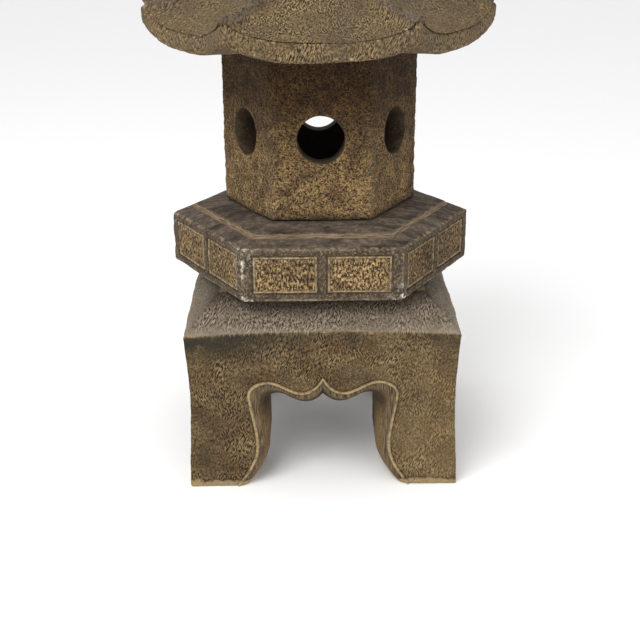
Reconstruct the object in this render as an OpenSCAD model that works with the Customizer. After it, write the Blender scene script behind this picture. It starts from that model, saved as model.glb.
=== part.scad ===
// Stone garden lantern: dressed stones stacked dry, each one keyed to the stone below it.
// +Z is up. The origin is on the ground, under the middle of the square base.
// The front of the lantern faces -Y.

/* [Base] */
// Width of the square base at its feet and at its shoulder
base_w = 460; // [380:1:560]
// Height of the upright faces, up to the shoulder
shoulder_h = 281; // [240:1:340]
// Rise of the sloping top, from the shoulder to the flat seat
seat_rise = 57; // [30:1:90]
// Width of the flat seat on top of the base
seat_w = 340; // [250:1:380]
// Thickness of the carved apron between two legs
apron_t = 60; // [40:1:75]
// Height of the hollow behind the aprons
hollow_h = 187; // [170:1:215]

/* [Leg opening] */
// Clear width between two feet on the ground
foot_gap = 248; // [220:1:280]
// Clear width between two legs at their narrowest
leg_gap = 184; // [150:1:200]
// Height at which the foot's curve meets the straight part of the leg
ankle_h = 68; // [50:1:110]
// Height of the opening under its two side arches
arch_h = 161; // [150:1:166]
// Height of the lowest point of the two lobes
lobe_h = 146; // [138:1:149]
// Height of the point in the middle
cusp_h = 159; // [151:1:166]
// Distance of each lobe from the middle
lobe_x = 26; // [18:1:34]
// Radius of the round corner between leg and arch
arch_r = 16; // [8:1:22]

/* [Platform] */
// Width of the six-sided platform across its corners
platform_w = 524; // [450:1:630]
// Height of the platform's upright sides
platform_side_h = 90; // [70:1:120]
// Rise of the sloping margin around the top
wash_rise = 10; // [4:1:16]
// Width across corners of the step that frames the top
step_w = 448; // [420:1:449]
// Height of that step
step_h = 5; // [3:1:8]
// Rise from the step to the fire box's seat
top_rise = 7; // [3:1:12]
// Size of the bevels on the platform's edges
platform_bevel = 4; // [2:1:6]

/* [Platform panels] */
// Space between the panels and a corner of the platform
panel_margin = 16.5; // [12:0.5:26]
// Upright strip between the two panels of a side
panel_divider = 13; // [8:1:24]
// Plain strip below the panels
panel_sill = 13; // [8:1:20]
// Plain strip above the panels
panel_head = 14; // [8:1:20]
// Depth of the sunk panels
panel_depth = 3; // [1:0.5:6]
// Width of the raised line around each panel
line_w = 4; // [2:0.5:8]
// Height of the raised line above the sunk panel
line_h = 2; // [1:0.5:5]

/* [Fire box] */
// Width of the six-sided fire box across its flats
firebox_w = 290; // [272:1:350]
// Height of the fire box
firebox_h = 272; // [230:1:320]
// Radius of the round chamber inside
chamber_r = 111; // [92:1:118]
// Radius of the six round windows
window_r = 39; // [25:1:50]
// Height of the windows' centre above the fire box's underside
window_h = 136; // [100:1:160]
// Width of the worn flat along each upright edge
edge_flat = 12; // [4:1:20]
// Size of the bevels around the fire box's top and bottom
firebox_bevel = 7; // [3:1:12]

/* [Roof] */
// Width of the six-sided roof across its corners
roof_w = 600; // [520:1:700]
// Height of the roof's middle above the fire box
roof_h = 196; // [150:1:240]
// Thickness of the eave at the middle of a side
eave_t = 34; // [24:1:50]
// Rise of the eave towards its corners
eave_lift = 30; // [10:1:45]
// Width across corners of the flat seat at the top of the roof
crown_w = 132; // [124:1:170]
// Width of the six hip ridges
hip_w = 26; // [14:1:36]
// Height of the hip ridges above the slopes
hip_h = 9; // [4:1:16]

/* [Finial] */
// Height of the finial above the roof
finial_h = 158; // [120:1:200]
// Radius of the finial's foot
finial_foot_r = 50; // [42:1:58]
// Radius of the bud at its widest
bud_r = 49; // [38:1:60]
// Radius of the neck under the bud
neck_r = 29; // [22:1:34]

/* [Lamp dish] */
// Radius of the lamp dish at its rim
dish_r = 55; // [40:1:80]
// Height of the lamp dish
dish_h = 26; // [18:1:34]
// Thickness of the dish's wall
dish_wall = 5; // [3:0.5:7]
// Radius of the dish's foot ring
dish_foot_r = 27; // [18:1:32]

/* [Keys between stones] */
// Radius of the round tenon under the platform
key_r = 57; // [40:1:75]
// Length of that tenon
key_h = 22; // [12:1:35]
// Height of the round boss inside the fire box, and of the one under the roof
boss_h = 14; // [8:1:20]
// Radius of the finial's tenon
pin_r = 23; // [15:1:30]
// Length of the finial's tenon
pin_h = 26; // [15:1:40]
// Gap around a key, and under the end of a tenon
key_gap = 3; // [1:0.5:5]

/* [Hidden] */
$fn = 72;
EPS = 1;                                    // how far a cut runs past a face

base_h = shoulder_h + seat_rise;
platform_top = platform_side_h + wash_rise + step_h + top_rise;
firebox_z = base_h + platform_top;
roof_z = firebox_z + firebox_h;
finial_z = roof_z + roof_h;
dish_z = firebox_z + boss_h;

side = platform_w / 2;                      // length of one side of the platform
seat_across = (firebox_w + 2 * platform_bevel) / cos(30);
panel_w = (side - 2 * panel_margin - panel_divider) / 2;
panel_h = platform_side_h - panel_sill - panel_head;

// ---------------------------------------------------------------- outlines

// Distance from the middle to a flat of a hexagon that measures w across its corners
function flat_r(w) = w / 2 * cos(30);

// Points of an arc from angle a0 to a1
function arc(c, r, a0, a1, n) = [for (i = [0:n]) c + r * [cos(a0 + (a1 - a0) * i / n), sin(a0 + (a1 - a0) * i / n)]];

// Points of a Bezier curve with four control points
function bezier(p, n) = [for (i = [0:n]) let (t = i / n, u = 1 - t)
    u * u * u * p[0] + 3 * u * u * t * p[1] + 3 * u * t * t * p[2] + t * t * t * p[3]];

// Mirrors a half outline and joins the two halves
function both_sides(half) = concat(half, [for (i = [len(half) - 1:-1:0]) [-half[i][0], half[i][1]]]);

// Right half of the leg opening, from below the ground to the point in the middle
function opening_half() =
    let (foot = foot_gap / 2, leg = leg_gap / 2, arch_x = leg - arch_r)
    concat(
        [[foot, -EPS]],
        bezier([[foot, 0], [foot - 13, ankle_h * 0.26], [leg, ankle_h * 0.58], [leg, ankle_h]], 10),
        arc([arch_x, arch_h - arch_r], arch_r, 0, 90, 6),
        bezier([[arch_x - 4, arch_h], [(arch_x + lobe_x) / 2 + 4, arch_h],
                [(arch_x + lobe_x) / 2, lobe_h], [lobe_x, lobe_h]], 8),
        bezier([[lobe_x, lobe_h], [lobe_x * 0.5, lobe_h], [lobe_x * 0.25, cusp_h - 6], [0, cusp_h]], 5));

// Corners of a hexagon at height z that measures w across its corners. With a flat, each corner is cut off
// so that the flat left there has that width.
function hexagon(w, z, flat = 0) =
    let (cut = flat / sqrt(3))
    [for (k = [0:5]) let (c = w / 2 * [cos(60 * k), sin(60 * k)],
                          before = [cos(60 * k - 120), sin(60 * k - 120)],
                          after = [cos(60 * k + 120), sin(60 * k + 120)])
        each (flat == 0 ? [[c[0], c[1], z]] :
              [[c[0] + cut * before[0], c[1] + cut * before[1], z],
               [c[0] + cut * after[0], c[1] + cut * after[1], z]])];

// ---------------------------------------------------------------- solids of flat faces

// Solid through a stack of rings with equally many points, each end closed from its middle
module loft(rings) {
    n = len(rings[0]);
    last = len(rings) - 1;
    low = len(rings) * n;
    points = concat(
        [for (ring = rings) each ring],
        [[0, 0, rings[0][0][2]], [0, 0, rings[last][0][2]]]);
    faces = concat(
        [for (i = [0:last - 1], j = [0:n - 1]) each [
            [i * n + j, (i + 1) * n + j, i * n + (j + 1) % n],
            [i * n + (j + 1) % n, (i + 1) * n + j, (i + 1) * n + (j + 1) % n]]],
        [for (j = [0:n - 1]) [low, j, (j + 1) % n]],
        [for (j = [0:n - 1]) [low + 1, last * n + (j + 1) % n, last * n + j]]);
    polyhedron(points, faces);
}

// ---------------------------------------------------------------- base

// Square block with a four-sided sloping top: where two such outlines, a quarter turn apart, meet
module base_block() {
    intersection_for (a = [0, 90])
        rotate([90, 0, a])
            linear_extrude(height = base_w + 2 * EPS, center = true)
                polygon(both_sides([[base_w / 2, 0], [base_w / 2, shoulder_h], [seat_w / 2, base_h]]));
}

// The opening between two legs runs right through; behind the aprons the hollow is higher
module leg_opening() {
    rotate([90, 0, 0])
        linear_extrude(height = base_w + 2 * EPS, center = true)
            polygon(both_sides(opening_half()));
    inside = base_w - 2 * apron_t;
    translate([-leg_gap / 2, -inside / 2, lobe_h - EPS])
        cube([leg_gap, inside, hollow_h - lobe_h + EPS]);
}

module base() {
    color([0.36, 0.30, 0.20])
        difference() {
            base_block();
            leg_opening();
            rotate([0, 0, 90])
                leg_opening();
            translate([0, 0, base_h - key_h - key_gap])
                cylinder(r = key_r + key_gap, h = key_h + key_gap + EPS);
        }
}

// ---------------------------------------------------------------- platform

module platform_block() {
    b = platform_bevel / cos(30);
    w = platform_w;
    loft([
        hexagon(w - 2 * b, 0),
        hexagon(w, platform_bevel),
        hexagon(w, platform_side_h - platform_bevel),
        hexagon(w - 2 * b, platform_side_h),
        hexagon(step_w, platform_side_h + wash_rise),
        hexagon(step_w, platform_side_h + wash_rise + step_h),
        hexagon(seat_across, platform_top)]);
}

// Places its children at the lower left corner of each panel, on the face of its side
module at_panels() {
    for (a = [0:60:300], x = [panel_margin, panel_margin + panel_w + panel_divider])
        rotate([0, 0, a])
            translate([x - side / 2, -flat_r(platform_w), panel_sill])
                children();
}

module panel_sinking() {
    translate([0, -EPS, 0])
        cube([panel_w, panel_depth + EPS, panel_h]);
}

// Raised line: a flat frame that grows out of the panel's floor, half a line's width in from its edge
module panel_line() {
    translate([0, panel_depth - line_h, 0])
        difference() {
            translate([line_w / 2, 0, line_w / 2])
                cube([panel_w - line_w, line_h + EPS, panel_h - line_w]);
            translate([line_w * 1.5, -EPS, line_w * 1.5])
                cube([panel_w - 3 * line_w, line_h + 3 * EPS, panel_h - 3 * line_w]);
        }
}

module platform() {
    color([0.42, 0.34, 0.22])
        translate([0, 0, base_h]) {
            difference() {
                platform_block();
                at_panels()
                    panel_sinking();
            }
            at_panels()
                panel_line();
            translate([0, 0, -key_h])
                cylinder(r = key_r, h = key_h + EPS);
            translate([0, 0, platform_top - EPS])
                cylinder(r = chamber_r - key_gap, h = boss_h + EPS);
        }
}

// ---------------------------------------------------------------- fire box

module firebox_block() {
    w = firebox_w / cos(30);
    b = firebox_bevel / cos(30);
    loft([
        hexagon(w - 2 * b, 0, edge_flat),
        hexagon(w, firebox_bevel, edge_flat),
        hexagon(w, firebox_h - firebox_bevel, edge_flat),
        hexagon(w - 2 * b, firebox_h, edge_flat)]);
}

module fire_box() {
    color([0.55, 0.43, 0.25])
        translate([0, 0, firebox_z])
            difference() {
                firebox_block();
                translate([0, 0, -EPS])
                    cylinder(r = chamber_r, h = firebox_h + 2 * EPS);
                for (a = [0:60:120])
                    translate([0, 0, window_h])
                        rotate([90, 0, a])
                            cylinder(r = window_r, h = firebox_w + 2 * EPS, center = true);
            }
}

// ---------------------------------------------------------------- lamp dish

module lamp_dish() {
    floor_h = dish_wall + 4;
    color([0.30, 0.27, 0.22])
        translate([0, 0, dish_z])
            rotate_extrude()
                polygon(concat(
                    [[0, 3], [dish_foot_r - 6, 3], [dish_foot_r - 5, 0], [dish_foot_r, 0], [dish_foot_r + 1, 5]],
                    bezier([[dish_foot_r + 2, 5], [dish_r * 0.8, 6], [dish_r - 2, dish_h * 0.45],
                            [dish_r, dish_h - 1]], 6),
                    [[dish_r - 1, dish_h], [dish_r - dish_wall + 1, dish_h], [dish_r - dish_wall, dish_h - 1]],
                    bezier([[dish_r - dish_wall - 0.5, dish_h - 3], [dish_r - dish_wall - 3, dish_h * 0.5],
                            [dish_r * 0.7, floor_h], [dish_foot_r, floor_h]], 6),
                    [[0, floor_h]]));
}

// ---------------------------------------------------------------- roof

ROOF_SIDE = 8;                              // facets along each side of the roof
ROOF_SLOPE = 9;                             // facets up each slope

// Height of the slope at a share s of the way from the eave to the crown
function slope_z(s) = eave_t + (roof_h - eave_t) * (0.45 * s + 0.55 * pow(s, 2.6));

// How far the eave's lift reaches in at that place
function slope_lift(s) = eave_lift * pow(1 - s, 2.4);

function slope_r(s) = roof_w / 2 + (crown_w / 2 - roof_w / 2) * s;

// Rings from the fire box's seat out under the eave, over its edge and up to the crown:
// radius of the corners, height, and lift of the corners
function roof_rings() = concat(
    [[firebox_w * 0.62, 0, 0],
     [roof_w / 2 - 14, 3, eave_lift * 0.8],
     [roof_w / 2 - 4, 6, eave_lift * 0.9],
     [roof_w / 2 - 2, eave_t - 4, eave_lift]],
    [for (i = [0:ROOF_SLOPE]) let (s = i / ROOF_SLOPE)
        [slope_r(s) - (i == 0 ? 8 : 0), slope_z(s), slope_lift(s)]]);

// One ring: each side of a hexagon, lifted towards its corners
function roof_ring(ring) = [for (k = [0:5], j = [0:ROOF_SIDE - 1])
    let (t = j / ROOF_SIDE,
         a = [cos(60 * k), sin(60 * k)],
         b = [cos(60 * k + 60), sin(60 * k + 60)],
         p = ring[0] * (a + (b - a) * t))
    [p[0], p[1], ring[1] + ring[2] * pow(abs(2 * t - 1), 3)]];

module roof_shell() {
    loft([for (ring = roof_rings()) roof_ring(ring)]);
}

// A ridge stands on each hip and ends in a tip that turns up over the corner of the eave
module hip_ridge() {
    reach = [for (i = [0:12]) 0.9 * i / 12];
    over = [for (s = reach) [slope_r(s) - 2, slope_z(s) + slope_lift(s) + hip_h]];
    under = [for (i = [len(reach) - 1:-1:0]) [slope_r(reach[i]) - 10, slope_z(reach[i]) + slope_lift(reach[i]) - 10]];
    rotate([90, 0, 0])
        linear_extrude(height = hip_w, center = true)
            polygon(concat(over, under));
}

module roof() {
    color([0.40, 0.33, 0.22])
        translate([0, 0, roof_z])
            difference() {
                union() {
                    roof_shell();
                    for (a = [0:60:300])
                        rotate([0, 0, a])
                            hip_ridge();
                    translate([0, 0, -boss_h])
                        cylinder(r = chamber_r - key_gap, h = boss_h + EPS);
                }
                translate([0, 0, roof_h - pin_h - key_gap])
                    cylinder(r = pin_r + key_gap, h = pin_h + key_gap + 2 * hip_h);
            }
}

// ---------------------------------------------------------------- finial

module finial() {
    bud_z = 52;                             // where the bud leaves its collar
    color([0.48, 0.39, 0.25])
        translate([0, 0, finial_z])
            rotate_extrude()
                polygon(concat(
                    [[0, -pin_h], [pin_r - 2, -pin_h], [pin_r, -pin_h + 2], [pin_r, 0]],
                    [[finial_foot_r - 3, 0], [finial_foot_r, 3], [finial_foot_r, 13]],
                    bezier([[finial_foot_r - 2, 16], [neck_r + 8, 18], [neck_r, 22], [neck_r, 28]], 5),
                    bezier([[neck_r + 2, 31], [neck_r + 10, 33], [neck_r + 14, 38], [neck_r + 14, 44]], 5),
                    [[neck_r + 10, 48], [neck_r, bud_z]],
                    bezier([[neck_r + 2, bud_z + 3], [bud_r + 6, bud_z + 14], [bud_r + 7, bud_z + 48],
                            [bud_r * 0.42, finial_h - 26]], 10),
                    bezier([[bud_r * 0.36, finial_h - 22], [bud_r * 0.18, finial_h - 15],
                            [5, finial_h - 10], [3, finial_h]], 4),
                    [[0, finial_h]]));
}

base();
platform();
fire_box();
lamp_dish();
roof();
finial();
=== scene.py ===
"""Stone garden lantern: six stones, stacked dry, each built as one closed skin and weathered.

Every skin is a set of patches. A patch is a grid whose rows follow a few key curves, so edges, beads and
panels lie exactly on its lines. Patches that meet share their border points and are welded there.
Lengths inside the makers are in millimetres, and become metres where a point is placed.
"""

import math

import bmesh
import bpy
import numpy as np
from mathutils import Matrix, Vector, noise


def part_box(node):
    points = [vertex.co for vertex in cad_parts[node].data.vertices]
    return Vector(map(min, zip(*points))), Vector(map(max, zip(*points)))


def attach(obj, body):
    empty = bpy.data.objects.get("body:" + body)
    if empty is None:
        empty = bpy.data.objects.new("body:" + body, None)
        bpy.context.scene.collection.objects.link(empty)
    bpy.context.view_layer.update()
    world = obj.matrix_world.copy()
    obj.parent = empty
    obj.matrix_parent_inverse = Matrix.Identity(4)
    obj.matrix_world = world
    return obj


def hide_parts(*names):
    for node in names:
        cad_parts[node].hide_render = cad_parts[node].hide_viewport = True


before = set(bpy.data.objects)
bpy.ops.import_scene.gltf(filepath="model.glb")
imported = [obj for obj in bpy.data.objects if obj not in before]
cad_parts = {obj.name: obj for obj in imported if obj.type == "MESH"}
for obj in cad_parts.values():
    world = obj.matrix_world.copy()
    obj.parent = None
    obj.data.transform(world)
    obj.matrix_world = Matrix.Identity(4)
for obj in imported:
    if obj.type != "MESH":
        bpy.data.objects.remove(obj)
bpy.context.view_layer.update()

bl_info = {
    "name": "Stone garden lantern",
    "version": (1, 0, 0),
    "blender": (4, 5, 0),
    "location": "3D View > Sidebar > Lantern",
    "description": "Builds the weathered stones of a six-sided garden lantern around its design",
    "category": "Add Mesh",
}

MM = 0.001
TAN30 = math.tan(math.radians(30))
COS30 = math.cos(math.radians(30))


def mm(value):
    """Metres to millimetres"""
    return value / MM


BASE_LOW, BASE_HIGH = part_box("base")
PLATFORM_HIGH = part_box("platform")[1]
FIREBOX_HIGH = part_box("fire_box")[1]
DISH_LOW, DISH_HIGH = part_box("lamp_dish")
FINIAL_LOW, FINIAL_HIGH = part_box("finial")
RIM, SEAT = 90, 112  # platform's rim and seat above the base (mm)
CLEARANCE = 3  # round a key or a boss in its socket (mm)
FINIAL_KEY = 26  # length of the finial's key (mm)


# ---------------------------------------------------------------- sizes and colours

def linear(hex_colour):
    """sRGB hex colour to linear red, green and blue"""
    parts = [int(hex_colour[i:i + 2], 16) / 255 for i in (0, 2, 4)]
    return tuple(c / 12.92 if c <= 0.04045 else ((c + 0.055) / 1.055) ** 2.4 for c in parts)


def length(name, description, default):
    """A size in metres whose default is given in millimetres"""
    return bpy.props.FloatProperty(name=name, description=description, default=default * MM,
                                   min=0.0, unit="LENGTH", precision=4)


def colour(name, description, hex_colour):
    """A colour whose default is given as sRGB hex"""
    return bpy.props.FloatVectorProperty(name=name, description=description, subtype="COLOR", size=3,
                                         min=0.0, max=1.0, default=linear(hex_colour))


class LanternSizes(bpy.types.PropertyGroup):
    """Sizes of the carving that the design leaves to the mason"""
    shoulder: length("Shoulder", "Height of the base's upright faces", 281)
    shoulder_arch: length("Shoulder arch", "How much higher the shoulder is at its middle", 7)
    waist: length("Hollowed faces", "How far the upright faces are hollowed", 6)
    seat: length("Seat", "Half the width of the flat seat on the base", 170)
    apron: length("Apron", "Thickness of the aprons between the legs", 60)
    hollow: length("Hollow", "Height of the hollow behind the aprons", 187)
    key: length("Key", "Radius of the socket in the base", 60)
    bead: length("Bead", "Height of the bead that follows the leg opening", 2.6)
    panel_depth: length("Panel depth", "Depth of the platform's sunk panels", 3)
    window: length("Window", "Radius of the round windows", 39)
    chamber: length("Chamber", "Radius of the round chamber", 111)


class LanternColours(bpy.types.PropertyGroup):
    """Colours of the weathered stone"""
    # This colour also paints shade on the opening's walls.
    base_dark: colour("Cuts", "Hollows of the chisel strokes", "20170F")
    base_light: colour("Ridges", "Ridges between the chisel strokes", "947D57")
    base_warm: colour("Warm patches", "Where the chiselled stone is rust brown", "846945")
    slope_dark: colour("Slope cuts", "Hollows of the strokes on the base's sloping top", "2E251D")
    # This colour also paints a highlight along the slope's lower edge.
    slope_light: colour("Slope ridges", "Ridges of the strokes on the base's sloping top", "958773")
    smooth: colour("Smooth stone", "Rubbed margins and tops", "4B4138")
    smooth_light: colour("Dusty stone", "Dust and wear on the rubbed margins", "7A6B5A")
    # This colour is also painted shade: in the groove beside the base's bead, and on the platform's side
    # panels.
    pit_and_shade: colour("Pits", "Pits left by the pick", "291C12")
    grain: colour("Grain", "Proud grain between the pits", "B0905E")
    line: colour("Raised line", "Worn beads and lines", "A08D69")
    chip: colour("Chips", "Fresh chips on the arrises", "D4CDBD")
    # This colour is also painted shade: under the platform's overhang on the base's slope, and at the fire
    # box's foot.
    soot_and_shade: colour("Soot", "Dark stain under eaves and arrises", "221A12")
    moss: colour("Grime", "Grey green grime", "2E2B20")
    groove: colour("Groove", "Rust-coloured step around the platform's top", "847059")
    # This colour is painted shade: it darkens the fire box's upper part under the roof's overhang.
    roof_shade: colour("Shelter", "Tint of the stone that the roof keeps dry", "91826E")
    glaze: colour("Glaze", "Brown iron glaze of the lamp dish", "3B2A1C")
    floor: colour("Floor", "Studio floor", "FFFFFF")


# ---------------------------------------------------------------- curves

def bezier(points, n):
    """n + 1 points of the Bezier curve with four control points, or of the straight line with two"""
    p = np.array(points, float)
    if len(p) == 2:
        p = np.array([p[0], p[0] + (p[1] - p[0]) / 3, p[1] - (p[1] - p[0]) / 3, p[1]])
    t = np.linspace(0, 1, n + 1)[:, None]
    u = 1 - t
    return u ** 3 * p[0] + 3 * u * u * t * p[1] + 3 * u * t * t * p[2] + t ** 3 * p[3]


def path(start, *spans):
    """One curve from its start through spans, each given as its further control points and number of steps"""
    parts = [[start]]
    for points, n in spans:
        parts.append(bezier([parts[-1][-1], *points], n)[1:])
    return np.vstack(parts)


def mirrored(half):
    """The whole outline from its right half, which ends in the middle; it runs from left to right"""
    left = half * [-1, 1]
    return np.vstack([left, half[::-1][1:]])


def stepped(breaks, step):
    """Break points with even steps of at most that size between them"""
    out = [breaks[0]]
    for a, b in zip(breaks, breaks[1:]):
        n = max(1, math.ceil((b - a) / step - 1e-9))
        out += [a + (b - a) * (i + 1) / n for i in range(n)]
    return np.array(out)


def arc_row(angle, r, z):
    """Part of a level circle, with a point at each angle from the front"""
    return np.stack([np.sin(angle) * r, -np.cos(angle) * r, np.full(len(angle), z)], axis=1)


def climbing(points):
    """Surface coordinates of a patch: how far across, and how far its middle column has run to each row"""
    middle = np.linalg.norm(np.diff(points[:, points.shape[1] // 2], axis=0), axis=1)
    run = np.concatenate([[0], np.cumsum(middle)])
    return np.stack([points[:, :, 0], np.repeat(run[:, None], points.shape[1], axis=1)], axis=2)


def loft(curves, steps):
    """Rows of points from each key curve to the next, steps[k] rows after curve k"""
    rows = [curves[0]]
    for a, b, n in zip(curves, curves[1:], steps):
        rows += [a + (b - a) * (i + 1) / n for i in range(n)]
    return np.array(rows)


# ---------------------------------------------------------------- skins

class Skin:
    """A closed surface put together from patches, with masks that say how each place was worked"""

    def __init__(self, name, masks):
        self.name = name
        self.bm = bmesh.new()
        self.uv = self.bm.loops.layers.uv.new("surface")
        self.layers = {mask: self.bm.verts.layers.float.new(mask) for mask in masks}

    def patch(self, points, uv, turns=1, **masks):
        """Lays a grid over rows of points (mm) and repeats it round Z; uv is in mm too"""
        rows, columns = points.shape[:2]
        for turn in range(turns):
            matrix = Matrix.Rotation(2 * math.pi * turn / turns, 4, "Z")
            grid = bmesh.ops.create_grid(self.bm, x_segments=columns - 1, y_segments=rows - 1, size=0.5)
            verts = grid["verts"]
            place = {}
            for vert in verts:
                i = round((vert.co.y + 0.5) * (rows - 1))
                j = round((vert.co.x + 0.5) * (columns - 1))
                place[vert] = (i, j)
                vert.co = matrix @ Vector(points[i, j] * MM)
                for mask, value in masks.items():
                    vert[self.layers[mask]] = value if np.isscalar(value) else value[i, j]
            shift = Vector((turn * 1.37, turn * 0.61))
            for face in {face for vert in verts for face in vert.link_faces}:
                for loop in face.loops:
                    loop[self.uv].uv = Vector(uv[place[loop.vert]] * MM) + shift

    def close(self):
        """Welds the patches, closes the feet and turns every face outwards"""
        bmesh.ops.remove_doubles(self.bm, verts=self.bm.verts, dist=2e-5)
        bmesh.ops.dissolve_degenerate(self.bm, edges=self.bm.edges, dist=1e-6)
        rim = [edge for edge in self.bm.edges if edge.is_boundary]
        if rim:
            bmesh.ops.holes_fill(self.bm, edges=rim, sides=0)
        bmesh.ops.recalc_face_normals(self.bm, faces=self.bm.faces)

    def finish(self, node, relief, sharp=38, ground=None):
        """Weathers the skin by relief(point, masks) in mm along its normals, and puts it in the scene.

        No point goes below the ground, where that is given."""
        self.close()
        self.bm.normal_update()
        moves = []
        for vert in self.bm.verts:
            values = {mask: vert[layer] for mask, layer in self.layers.items()}
            moves.append(vert.normal * relief(vert.co / MM, values) * MM)
        for vert, move in zip(self.bm.verts, moves):
            vert.co += move
            if ground is not None:
                vert.co.z = max(vert.co.z, ground)
        return shown(self.bm, self.name, node, sharp)


def shown(bm, name, node, sharp):
    """Puts a finished surface in the scene as the piece that stands for a stone of the design"""
    mesh = bpy.data.meshes.new(name)
    bm.to_mesh(mesh)
    bm.free()
    mesh.shade_smooth()
    mesh.set_sharp_from_angle(angle=math.radians(sharp))
    piece = bpy.data.objects.new(name, mesh)
    bpy.context.scene.collection.objects.link(piece)
    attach(piece, node)
    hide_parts(node)
    return piece


def rough(point, size, octaves=3, seed=0.0):
    """Smooth noise from -1 to 1 whose lumps are about that size (mm)"""
    shifted = point / size + Vector((seed, seed * 1.7, -seed))
    return noise.fractal(shifted, 0.9, 2.1, octaves, noise_basis="PERLIN_ORIGINAL")


def pits(point, size, seed=0.0):
    """0 between pits, up to 1 in the middle of each one; pits are about that size (mm)"""
    shifted = point / size + Vector((seed, -seed, seed * 0.3))
    distances = noise.voronoi(shifted)[0]
    return max(0.0, 1.0 - distances[0] * 1.5)


# ---------------------------------------------------------------- base

FOOT, LEG, ARCH, BEND, LOBE, CUSP = 24, 34, 22, 20, 34, 20  # columns along each span of the opening


def opening_outline():
    """The leg opening where it runs through, from foot to foot: x and height"""
    foot, leg, ankle = 123, 92, 68
    arch, radius = 161, 16
    lobe_x, lobe_z, cusp_z = 26, 146, 159
    return mirrored(path(
        (foot, 0),
        ([(foot - 13, ankle * 0.26), (leg, ankle * 0.58), (leg, ankle)], FOOT),
        ([(leg, arch - radius)], LEG),
        ([(leg, arch - 7), (leg - 7, arch), (leg - radius, arch)], ARCH + BEND),
        ([(55, arch), (51, lobe_z), (lobe_x, lobe_z)], LOBE),
        ([(13, lobe_z), (6, cusp_z - 6), (0, cusp_z)], CUSP)))


def hollow_outline(hollow):
    """The same way through, behind the aprons, where it is higher"""
    leg = 92
    return mirrored(path(
        (123, 0),
        ([(110, 18), (leg, 39), (leg, 68)], FOOT),
        ([(leg, 145)], LEG),
        ([(leg, hollow)], ARCH),
        ([(leg - 16, hollow)], BEND),
        ([(26, hollow)], LOBE),
        ([(0, hollow)], CUSP)))


def bead_outline():
    """Middle of the raised bead: foot, narrow ankle, shoulder, crest, valley and cusp"""
    ankle, crest, valley, cusp = 113.6, 192.7, 172, 199
    return mirrored(path(
        (146, 0),
        ([(137, 17), (ankle, 42), (ankle, 75)], FOOT),
        ([(ankle, 105), (126, 135), (128.7, 168)], LEG),
        ([(129.3, 182), (114, crest), (95.5, crest)], ARCH + BEND),
        ([(76, crest), (56, valley), (35.5, valley)], LOBE),
        ([(21, valley), (6, 185), (0, cusp)], CUSP)))


def side_outline(half, shoulder, arch):
    """Border of an upright face: up one arris, along the arched shoulder and down the other"""
    outline = mirrored(path(
        (half, 0),
        ([(half, 84)], FOOT),
        ([(half, 186)], LEG),
        ([(half, shoulder)], ARCH),
        ([(178, shoulder)], BEND),
        ([(62, shoulder)], LOBE),
        ([(0, shoulder)], CUSP)))
    top = outline[:, 1] >= shoulder - 1e-6
    outline[top, 1] += arch * (0.5 - (outline[top, 0] / half) ** 2)
    return outline


def moved_out(outline, distance):
    """The outline moved out from the opening by that distance, without crossing the middle"""
    along = np.gradient(outline, axis=0)
    along /= np.linalg.norm(along, axis=1)[:, None]
    out = outline + np.stack([-along[:, 1], along[:, 0]], axis=1) * distance
    middle = len(outline) // 2
    apart = 0.12 * (np.arange(len(outline)) - middle)
    out[:middle, 0] = np.minimum(out[:middle, 0], apart[:middle])
    out[middle + 1:, 0] = np.maximum(out[middle + 1:, 0], apart[middle + 1:])
    out[middle, 0] = 0
    out[:, 1] = np.maximum(out[:, 1], 0)
    return out


def at_depth(outline, half, depth):
    """Places an outline on the front face, that deep behind it"""
    return np.stack([outline[:, 0], np.full(len(outline), -half + depth), outline[:, 1]], axis=1)


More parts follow.
